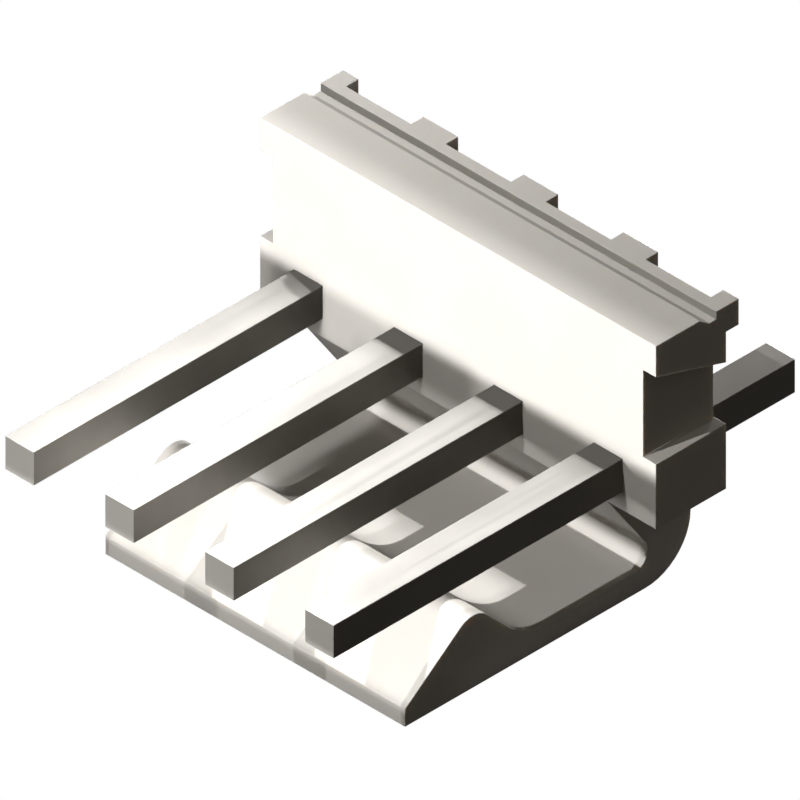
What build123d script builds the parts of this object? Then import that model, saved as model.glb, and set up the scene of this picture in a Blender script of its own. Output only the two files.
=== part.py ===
from build123d import *
import os
from math import radians, tan

# Four-way pin header with a friction lock, in millimetres.
# The origin is the middle of the pin row, in the plane of the circuit board's face.
# +X runs along the row, +Y follows the solder tails, and +Z points away from the lock.
# The header lies on the flat plate of its lock, with the mating pins along -Y.

# Row of pins
circuits = 4
pitch = 3.96
pin_side = 1.143
mating_length = 11.43
tail_length = 3.56

# Coined ears that hold each pin in the plastic, thinner than the pin
ear_reach = 0.1
ear_length = 0.9
ear_ramp = 0.35
ear_thickness = 0.6
pin_clearance = 0.005

# Wall that the pins pass through, and the thicker block around them
wall_depth = 2.8
wall_height = 10.0
end_margin = 1.903
row_height = 4.9
block_bottom = 3.72
block_top = 5.95

# Notches in both ends of the wall, under a top block with a sloped underside
notch_depth = 0.51
notch_front_height = 2.99
notch_back_height = 2.1

# Groove along the top of the wall, with a sloped front and an upright back
groove_setback = 1.74
groove_slope_length = 0.39
groove_floor = 0.27
groove_depth = 0.27

# Standoffs on the back of the wall, which keep it off the board
standoff = 0.5
standoff_width = 1.38
standoff_height = 0.9
end_standoff_width = 0.62

# Friction lock: a plate with a ramped lip, bent up to the block by a slanted neck
lock_reach = 8.03
lock_plate = 0.75
lock_tip = 0.627
lip_setback = 2.753
lip_front_angle = 37.6
lip_back_angle = 45.0
neck_angle = 55.0
crest_radius = 0.8
heel_radius = 2.1
inner_bend_radius = 0.55
outer_bend_radius = 1.8

# Places that follow from the sizes: heights are counted from the lock's underside
row_length = (circuits - 1) * pitch
first_pin = -row_length / 2
half_length = row_length / 2 + end_margin
back = -standoff
front = back - wall_depth
underside = -row_height
top = underside + wall_height
block_low = underside + block_bottom
block_high = underside + block_top

# Corners of the lock's section before they are rounded, as (Y, Z)
tip = front - lock_reach
tip_top = underside + lock_tip
crest_y = tip + lip_setback
crest_z = tip_top + lip_setback * tan(radians(lip_front_angle))
plate_top = underside + lock_plate
heel_y = crest_y + (crest_z - plate_top) / tan(radians(lip_back_angle))
bend_y = front + (block_low - plate_top) / tan(radians(neck_angle))
lock_corners = [
    (tip, underside),
    (tip, tip_top),
    (crest_y, crest_z),
    (heel_y, plate_top),
    (bend_y, plate_top),
    (front, block_low),
    (0, block_low),
    (0, underside),
]
corner_radii = [0, 0, crest_radius, heel_radius, inner_bend_radius, 0, 0, outer_bend_radius]

# The ears sit midway through the wall
ear_start = (front + back - ear_length) / 2
ear_end = ear_start + ear_length
groove_front = front + groove_setback
groove_low = groove_front + groove_slope_length
ridge_front = groove_low + groove_floor
groove_bottom = top - groove_depth


def ear_outline(x, side, room):
    """One ear in plan: a ramp at its leading end, grown by the room left around it."""
    flat = x + side * pin_side / 2
    peak = flat + side * (ear_reach + room)
    return [
        (flat, ear_start - room),
        (peak, ear_start + ear_ramp - room),
        (peak, ear_end + room),
        (flat, ear_end + room),
    ]


# Housing: one nylon moulding of wall, block, standoffs and friction lock
with BuildPart() as housing:
    # Upright wall with the groove along its top
    with BuildSketch(Plane.YZ):
        with BuildLine():
            Polyline(
                (front, block_low),
                (front, top),
                (groove_front, top),
                (groove_low, groove_bottom),
                (ridge_front, groove_bottom),
                (ridge_front, top),
                (back, top),
                (back, block_low),
                close=True,
            )
        make_face()
    extrude(amount=half_length, both=True)

    # Friction lock, as wide as the row from the first pin to the last
    with BuildSketch(Plane.YZ):
        with BuildLine():
            FilletPolyline(*lock_corners, radius=corner_radii, close=True)
        make_face()
    extrude(amount=row_length / 2, both=True)

    # Standoffs between the circuits, and a narrow one at each end
    with BuildSketch(Plane.XZ.offset(standoff)):
        with Locations((0, top - standoff_height / 2)):
            with GridLocations(pitch, pitch, circuits - 1, 1):
                Rectangle(standoff_width, standoff_height)
            with GridLocations(2 * half_length - end_standoff_width, pitch, 2, 1):
                Rectangle(end_standoff_width, standoff_height)
    extrude(amount=-standoff)

    # End notches, open at both faces of the wall
    for side in (-1, 1):
        with BuildSketch(Plane.YZ.offset(side * (half_length - notch_depth))):
            with BuildLine():
                Polyline(
                    (front, block_high),
                    (front, block_high + notch_front_height),
                    (back, block_high + notch_back_height),
                    (back, block_high),
                    close=True,
                )
            make_face()
        extrude(amount=side * notch_depth, mode=Mode.SUBTRACT)

    # Square holes for the pins, with pockets for their ears
    with BuildSketch(Plane.XZ.offset(standoff)):
        with GridLocations(pitch, pitch, circuits, 1):
            Rectangle(pin_side + 2 * pin_clearance, pin_side + 2 * pin_clearance)
    extrude(amount=wall_depth, mode=Mode.SUBTRACT)
    with BuildSketch(Plane.XY):
        for number in range(circuits):
            for side in (-1, 1):
                with BuildLine():
                    Polyline(*ear_outline(first_pin + number * pitch, side, pin_clearance), close=True)
                make_face()
    extrude(amount=ear_thickness / 2 + pin_clearance, both=True, mode=Mode.SUBTRACT)

housing.part.label = "housing"
os.makedirs("parts", exist_ok=True)
export_step(housing.part, "parts/housing.step")

# Pins: square wire cut off square at both ends, with an ear coined out of each side
for number in range(circuits):
    pin_x = first_pin + number * pitch
    with BuildPart() as pin:
        with BuildSketch(Plane.XZ.offset(-tail_length)):
            with Locations((pin_x, 0)):
                Rectangle(pin_side, pin_side)
        extrude(amount=tail_length + standoff + wall_depth + mating_length)
        with BuildSketch(Plane.XY):
            for side in (-1, 1):
                with BuildLine():
                    Polyline(*ear_outline(pin_x, side, 0), close=True)
                make_face()
        extrude(amount=ear_thickness / 2, both=True)
    pin.part.label = f"pin_{number + 1}"
    export_step(pin.part, f"parts/pin_{number + 1}.step")
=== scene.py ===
from math import atan, pi, radians

import bmesh
import bpy
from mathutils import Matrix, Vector


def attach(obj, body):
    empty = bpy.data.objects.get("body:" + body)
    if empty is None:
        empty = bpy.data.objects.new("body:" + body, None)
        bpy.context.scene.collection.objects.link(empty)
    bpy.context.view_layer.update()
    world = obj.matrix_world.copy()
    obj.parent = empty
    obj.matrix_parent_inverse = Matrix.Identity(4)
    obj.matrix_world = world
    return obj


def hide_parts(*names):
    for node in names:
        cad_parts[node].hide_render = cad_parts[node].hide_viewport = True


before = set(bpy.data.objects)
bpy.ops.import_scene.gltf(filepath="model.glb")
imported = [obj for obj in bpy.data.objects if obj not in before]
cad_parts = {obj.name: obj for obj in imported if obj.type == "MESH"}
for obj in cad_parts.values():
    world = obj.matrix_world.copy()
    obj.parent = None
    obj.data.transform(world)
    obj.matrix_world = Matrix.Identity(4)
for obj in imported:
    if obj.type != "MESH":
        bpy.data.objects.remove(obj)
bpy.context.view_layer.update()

scene = bpy.context.scene
mm = 0.001

# Camera: the picture is a true isometric view with no vanishing points, seen from the
# front right and above. Its frame is 22.42 mm wide, and its middle is the aim point below.
frame_width = 22.416 * mm
aim_point = Vector((-1.390, -4.200, -0.900)) * mm
sight_line = Vector((1, -1, 1)).normalized()
camera_distance = 80 * mm
camera_data = bpy.data.cameras.new("isometric_camera")
camera_data.type = "ORTHO"
camera_data.ortho_scale = frame_width
camera_data.clip_start = 1 * mm
camera_data.clip_end = 1000 * mm
camera = bpy.data.objects.new("isometric_camera", camera_data)
camera.location = aim_point + camera_distance * sight_line
camera.rotation_mode = "QUATERNION"
camera.rotation_quaternion = sight_line.to_track_quat("Z", "Y")
scene.collection.objects.link(camera)
scene.camera = camera

# Mottle: what keeps the moulded nylon and the tin plate from looking flat. It has slow
# patches and fine grain, both from 0 to 1, laid out in the piece's own coordinates in metres.
noise_low, noise_high = 0.3, 0.7
patch_detail, grain_detail = 2, 3
mottle = bpy.data.node_groups.new("mottle", "ShaderNodeTree")
for socket, kind, way in (
    ("Place", "NodeSocketVector", "INPUT"),
    ("Patches per metre", "NodeSocketFloat", "INPUT"),
    ("Grains per metre", "NodeSocketFloat", "INPUT"),
    ("Patches", "NodeSocketFloat", "OUTPUT"),
    ("Grain", "NodeSocketFloat", "OUTPUT"),
):
    mottle.interface.new_socket(name=socket, in_out=way, socket_type=kind)
mottle_in = mottle.nodes.new("NodeGroupInput")
mottle_out = mottle.nodes.new("NodeGroupOutput")
for socket, scale_from, detail in (
    ("Patches", "Patches per metre", patch_detail),
    ("Grain", "Grains per metre", grain_detail),
):
    noise = mottle.nodes.new("ShaderNodeTexNoise")
    noise.inputs["Detail"].default_value = detail
    spread = mottle.nodes.new("ShaderNodeMapRange")
    spread.inputs["From Min"].default_value = noise_low
    spread.inputs["From Max"].default_value = noise_high
    mottle.links.new(mottle_in.outputs["Place"], noise.inputs["Vector"])
    mottle.links.new(mottle_in.outputs[scale_from], noise.inputs["Scale"])
    mottle.links.new(noise.outputs["Fac"], spread.inputs["Value"])
    mottle.links.new(spread.outputs["Result"], mottle_out.inputs[socket])


def place_mottle(nodes, links, place, patches, grains):
    """Puts the mottle group into a material, at its own two scales."""
    group = nodes.new("ShaderNodeGroup")
    group.node_tree = mottle
    group.inputs["Patches per metre"].default_value = patches
    group.inputs["Grains per metre"].default_value = grains
    links.new(place, group.inputs["Place"])
    return group


# Housing: one injection moulding of natural white nylon. The wall, the low block, the
# standoffs and the ramped lock are one piece of plastic, and the pins are pressed through it.
mould_radius = 0.02 * mm
sharp_edge = radians(25)
smooth_edge = radians(35)
flat_angle = radians(0.5)
merge_distance = 0.0001 * mm
wall_front = -3.3 * mm
wall_back = -0.5 * mm
wall_skin = 0.05 * mm
hidden_half_height = 0.6 * mm
nylon_light = (0.840, 0.805, 0.750, 1)
nylon_dark = (0.800, 0.762, 0.700, 1)
nylon_patches, nylon_grains = 330, 16000
nylon_roughness = (0.42, 0.52)
nylon_grain_height = 0.004 * mm
light_depth = 0.25 * mm


def inside_wall(edge):
    """True for an edge of a pin hole or an ear, which the plastic hides."""
    middle = (edge.verts[0].co + edge.verts[1].co) / 2
    hidden_depth = wall_front + wall_skin < middle.y < wall_back - wall_skin
    return hidden_depth and abs(middle.z) < hidden_half_height


def rounded_copy(node, piece_name, radius):
    """A merged copy of a CAD node, with a small radius on the edges that show."""
    mesh = bpy.data.meshes.new(piece_name)
    bm = bmesh.new()
    bm.from_mesh(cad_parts[node].data)
    bmesh.ops.remove_doubles(bm, verts=bm.verts, dist=merge_distance)
    bmesh.ops.dissolve_limit(bm, angle_limit=flat_angle, verts=bm.verts, edges=bm.edges)
    corners = [e for e in bm.edges if e.calc_face_angle(0) > sharp_edge and not inside_wall(e)]
    bmesh.ops.bevel(
        bm,
        geom=corners,
        offset=radius,
        offset_type="OFFSET",
        affect="EDGES",
        segments=3,
        profile=0.5,
        material=-1,
        clamp_overlap=True,
    )
    for face in bm.faces:
        face.smooth = True
    for edge in bm.edges:
        edge.smooth = edge.calc_face_angle(0) < smooth_edge
    bm.to_mesh(mesh)
    bm.free()
    piece = bpy.data.objects.new(piece_name, mesh)
    scene.collection.objects.link(piece)
    flats = piece.modifiers.new("flats", "WEIGHTED_NORMAL")
    flats.keep_sharp = True
    flats.weight = 100
    return piece


def new_material(name):
    """A material with its nodes, links and surface shader at hand."""
    material = bpy.data.materials.new(name)
    material.use_nodes = True
    nodes, links = material.node_tree.nodes, material.node_tree.links
    return material, nodes, links, nodes["Principled BSDF"]


def value_between(nodes, links, share, ends):
    """A value that goes from the first end to the second as the share goes from 0 to 1."""
    between = nodes.new("ShaderNodeMapRange")
    between.inputs["To Min"].default_value, between.inputs["To Max"].default_value = ends
    links.new(share, between.inputs["Value"])
    return between.outputs["Result"]


def colour_between(nodes, links, share, first, second):
    """A colour that goes from the first to the second as the share goes from 0 to 1.

    Each of the two is a plain colour, or the output of another node.
    """
    between = nodes.new("ShaderNodeMix")
    between.data_type = "RGBA"
    for end, colour in (("A", first), ("B", second)):
        if isinstance(colour, bpy.types.NodeSocket):
            links.new(colour, between.inputs[end])
        else:
            between.inputs[end].default_value = colour
    links.new(share, between.inputs["Factor"])
    return between.outputs["Result"]


nylon, nodes, links, surface = new_material("nylon")
coordinates = nodes.new("ShaderNodeTexCoord")
nylon_mottle = place_mottle(nodes, links, coordinates.outputs["Object"], nylon_patches, nylon_grains)
patches = nylon_mottle.outputs["Patches"]
nylon_colour = colour_between(nodes, links, patches, nylon_light, nylon_dark)
links.new(nylon_colour, surface.inputs["Base Color"])
links.new(value_between(nodes, links, patches, nylon_roughness), surface.inputs["Roughness"])
nylon_grain = nodes.new("ShaderNodeBump")
nylon_grain.inputs["Strength"].default_value = 0.12
nylon_grain.inputs["Distance"].default_value = nylon_grain_height
links.new(nylon_mottle.outputs["Grain"], nylon_grain.inputs["Height"])
links.new(nylon_grain.outputs["Normal"], surface.inputs["Normal"])
surface.inputs["IOR"].default_value = 1.53
surface.inputs["Subsurface Weight"].default_value = 0.12
surface.inputs["Subsurface Radius"].default_value = (1.0, 0.85, 0.6)
surface.inputs["Subsurface Scale"].default_value = light_depth

housing = rounded_copy("housing", "housing_moulding", mould_radius)
housing.data.materials.append(nylon)
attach(housing, "root")
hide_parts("housing")

# Pins: square brass wire with a plating of tin, drawn, cut to length and pressed through
# the housing. Their long edges keep the small radius of the wire, and the ends are sheared.
pin_count = 4
wire_radius = 0.02 * mm
mating_end = -14.73 * mm
tail_end = 3.56 * mm
tin_bright = (0.68, 0.658, 0.620, 1)
tin_dull = (0.61, 0.590, 0.552, 1)
tin_patches, tin_grains = 500, 30000
drawn_patches, drawn_grains = 2500, 24000
drawn_stretch = (1, 0.03, 1)
drawn_height = 0.003 * mm
tin_roughness = (0.40, 0.50)
sheared_grey = (0.64, 0.615, 0.565, 1)
sheared_from, sheared_full = 0.02 * mm, 0.005 * mm
side_and_end_shine = (0.6, 0.25)

tin, nodes, links, surface = new_material("tinned_pin")
coordinates = nodes.new("ShaderNodeTexCoord")
drawn = nodes.new("ShaderNodeMapping")
drawn.inputs["Scale"].default_value = drawn_stretch
links.new(coordinates.outputs["Object"], drawn.inputs["Vector"])
drawn_lines = place_mottle(nodes, links, drawn.outputs["Vector"], drawn_patches, drawn_grains)
tin_mottle = place_mottle(nodes, links, coordinates.outputs["Object"], tin_patches, tin_grains)
tin_colour = colour_between(nodes, links, tin_mottle.outputs["Patches"], tin_bright, tin_dull)

# The cut ends are found by their distance from the wire's middle. They are greyer and duller.
place = nodes.new("ShaderNodeSeparateXYZ")
links.new(coordinates.outputs["Object"], place.inputs["Vector"])
middle_y = (mating_end + tail_end) / 2
half_length = (tail_end - mating_end) / 2
from_middle = nodes.new("ShaderNodeMath")
from_middle.operation = "SUBTRACT"
from_middle.inputs[1].default_value = middle_y
links.new(place.outputs["Y"], from_middle.inputs[0])
distance = nodes.new("ShaderNodeMath")
distance.operation = "ABSOLUTE"
links.new(from_middle.outputs["Value"], distance.inputs[0])
sheared = nodes.new("ShaderNodeMapRange")
sheared.inputs["From Min"].default_value = half_length - sheared_from
sheared.inputs["From Max"].default_value = half_length - sheared_full
links.new(distance.outputs["Value"], sheared.inputs["Value"])
end_share = sheared.outputs["Result"]
pin_colour = colour_between(nodes, links, end_share, tin_colour, sheared_grey)
links.new(pin_colour, surface.inputs["Base Color"])
links.new(value_between(nodes, links, end_share, side_and_end_shine), surface.inputs["Metallic"])

tin_gloss = value_between(nodes, links, drawn_lines.outputs["Patches"], tin_roughness)
links.new(tin_gloss, surface.inputs["Roughness"])
drawn_bump = nodes.new("ShaderNodeBump")
drawn_bump.inputs["Strength"].default_value = 0.10
drawn_bump.inputs["Distance"].default_value = drawn_height
links.new(drawn_lines.outputs["Grain"], drawn_bump.inputs["Height"])
links.new(drawn_bump.outputs["Normal"], surface.inputs["Normal"])

for number in range(1, pin_count + 1):
    node = f"pin_{number}"
    pin = rounded_copy(node, f"{node}_wire", wire_radius)
    pin.data.materials.append(tin)
    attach(pin, "root")
    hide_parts(node)

# Studio floor: a wide sheet of plain paper that the header lies on. The camera sees it
# white, without shadows. To all other rays it is dark, so the shaded sides stay dark.
floor_height = -4.9 * mm
floor_half = 300 * mm
floor_mesh = bpy.data.meshes.new("floor")
bm = bmesh.new()
bmesh.ops.create_grid(bm, x_segments=1, y_segments=1, size=floor_half)
bmesh.ops.translate(bm, verts=bm.verts, vec=(0, 0, floor_height))
bm.to_mesh(floor_mesh)
bm.free()
floor = bpy.data.objects.new("floor", floor_mesh)
scene.collection.objects.link(floor)
floor.visible_shadow = False


def show_to_camera(nodes, links, shown, other, surface_socket):
    """Shows one shader to the camera, and the other one to every other ray."""
    seen = nodes.new("ShaderNodeLightPath")
    mixed = nodes.new("ShaderNodeMixShader")
    links.new(seen.outputs["Is Camera Ray"], mixed.inputs["Fac"])
    links.new(other, mixed.inputs[1])
    links.new(shown, mixed.inputs[2])
    links.new(mixed.outputs["Shader"], surface_socket)


floor_paper, nodes, links, surface = new_material("floor_paper")
surface.inputs["Base Color"].default_value = (0.15, 0.15, 0.15, 1)
surface.inputs["Roughness"].default_value = 0.9
surface.inputs["Specular IOR Level"].default_value = 0
white = nodes.new("ShaderNodeEmission")
white.inputs["Strength"].default_value = 1.0
paper_out = nodes["Material Output"].inputs["Surface"]
show_to_camera(nodes, links, white.outputs["Emission"], surface.outputs["BSDF"], paper_out)
floor_mesh.materials.append(floor_paper)

# Studio lamps: eight of them, placed in mm as the picture's light shows. Five have
# straight-edged beams, and only the lock lamp's light bounces from face to face.
far_front = -153.3
wall_face = -3.3
first_gap = -3.96
slat_cone = radians(60)
slat_leak = 0.11


def add_lamp(name, kind, place, aim, brightness, size, reach=None, bounces=0):
    """A lamp at a place in mm. Brightness is what a white face gets that looks straight at it.

    That holds at the aim point, or at the reach in mm where one is given.
    """
    lamp_data = bpy.data.lights.new(name, kind)
    lamp_data.cycles.max_bounces = bounces
    place, aim = Vector(place) * mm, Vector(aim) * mm
    distance = reach * mm if reach else (place - aim).length
    if kind == "AREA":
        lamp_data.shape = "DISK"
        lamp_data.size = size * mm
        lamp_data.energy = brightness * (pi * distance) ** 2
    else:
        lamp_data.shadow_soft_size = size * mm
        lamp_data.energy = brightness * (2 * pi * distance) ** 2
    lamp = bpy.data.objects.new(name, lamp_data)
    lamp.location = place
    lamp.rotation_mode = "QUATERNION"
    lamp.rotation_quaternion = (place - aim).to_track_quat("Z", "Y")
    scene.collection.objects.link(lamp)
    return lamp_data


def barn_doors(lamp_data, left, right, low, high, softness, slat=False):
    """Cuts a spot lamp's beam to a window, or as a slat keeps most of its light out of there.

    The window's edges are slopes in the lamp's own directions: width or height over distance.
    """
    widest = max(abs(left), abs(right)) + max(abs(low), abs(high)) + softness
    lamp_data.spot_size = slat_cone if slat else 2 * atan(widest)
    lamp_data.spot_blend = 0
    lamp_data.use_nodes = True
    nodes, links = lamp_data.node_tree.nodes, lamp_data.node_tree.links
    direction = nodes.new("ShaderNodeTexCoord")
    parts = nodes.new("ShaderNodeSeparateXYZ")
    links.new(direction.outputs["Normal"], parts.inputs["Vector"])
    ahead = nodes.new("ShaderNodeMath")
    ahead.operation = "ABSOLUTE"
    links.new(parts.outputs["Z"], ahead.inputs[0])
    light_share = None
    for axis, door, way in (("X", left, 1), ("X", right, -1), ("Y", low, 1), ("Y", high, -1)):
        slope = nodes.new("ShaderNodeMath")
        slope.operation = "DIVIDE"
        links.new(parts.outputs[axis], slope.inputs[0])
        links.new(ahead.outputs["Value"], slope.inputs[1])
        edge = nodes.new("ShaderNodeMapRange")
        edge.interpolation_type = "SMOOTHSTEP"
        edge.inputs["From Min"].default_value = door - way * softness
        edge.inputs["From Max"].default_value = door + way * softness
        links.new(slope.outputs["Value"], edge.inputs["Value"])
        if light_share is None:
            light_share = edge.outputs["Result"]
            continue
        both = nodes.new("ShaderNodeMath")
        both.operation = "MULTIPLY"
        links.new(light_share, both.inputs[0])
        links.new(edge.outputs["Result"], both.inputs[1])
        light_share = both.outputs["Value"]
    if slat:
        light_share = value_between(nodes, links, light_share, (1, slat_leak))
    links.new(light_share, nodes["Emission"].inputs["Strength"])


# The wall lamp shines level from the front, over the pins and onto the wall.
wall_lamp = add_lamp("wall_lamp", "SPOT", (0, far_front, 5.1), (0, wall_face, 5.1), 0.97, 0.2)
barn_doors(wall_lamp, -0.07, 0.07, -0.0303, 0.05, 0.0018)

# The lock lamp stands higher and shines under the pins, onto the ramp.
lock_aim = (0, -14.73, -0.6)
lock_lamp = add_lamp("lock_lamp", "SPOT", (0, far_front, 34.32), lock_aim, 1.00, 0.2, bounces=4)
barn_doors(lock_lamp, -0.06, 0.06, -0.0185, 0.0002, 0.001)

# The pin lamp hangs high on the left, and its beam stops just short of the wall. It points
# straight down, which turns it half round, so its slopes run against X and Y.
pin_lamp = add_lamp("pin_lamp", "SPOT", (-125, 21.5, 160), (-125, 21.5, 0), 0.94, 1.2, reach=205)
barn_doors(pin_lamp, -1.0, -0.743, 0.161, 0.4, 0.001)

# The gap lamp lifts the strip of wall between the first two pins.
gap_place, gap_aim = (first_gap, far_front, -0.3), (first_gap, wall_face, -0.3)
gap_lamp = add_lamp("gap_lamp", "SPOT", gap_place, gap_aim, 0.38, 0.2)
barn_doors(gap_lamp, -0.0094, 0.0094, -0.0059, 0.0057, 0.0006)

# The front lamp fills in from above. Its slat shades a strip of the lock's floor between
# the second pin and the third.
front_lamp = add_lamp("front_lamp", "SPOT", (0, -38, 52), (0, -8, 0), 0.34, 0.2)
barn_doors(front_lamp, -0.0655, -0.044, -0.0225, 0.06, 0.0035, slat=True)

# The top lamp lights the wall's top, most of all on the left. The low lamp lights the pins'
# ends and the lock's tip, and the back lamp keeps the back clear in other views.
add_lamp("top_lamp", "POINT", (-16.8, 0.5, 25), (0, -2, 5), 0.60, 0.4, reach=20)
add_lamp("low_lamp", "POINT", (-5, -35, 0), (0, -11, 0.5), 0.34, 0.6)
add_lamp("back_lamp", "AREA", (-22, 45, 1), (0, 0, 0), 0.85, 14)

# Studio surroundings: a white backdrop to the camera, and to all other rays a dim, warm
# glow from all sides, which is nearly all that the shaded faces get.
world = bpy.data.worlds.new("studio")
world.use_nodes = True
nodes, links = world.node_tree.nodes, world.node_tree.links
glow = nodes["Background"]
glow.inputs["Color"].default_value = (1.0, 0.93, 0.83, 1)
glow.inputs["Strength"].default_value = 0.068
backdrop = nodes.new("ShaderNodeBackground")
backdrop.inputs["Color"].default_value = (1, 1, 1, 1)
backdrop.inputs["Strength"].default_value = 1.0
world_out = nodes["World Output"].inputs["Surface"]
show_to_camera(nodes, links, backdrop.outputs["Background"], glow.outputs["Background"], world_out)
scene.world = world
scene.view_settings.view_transform = "Standard"
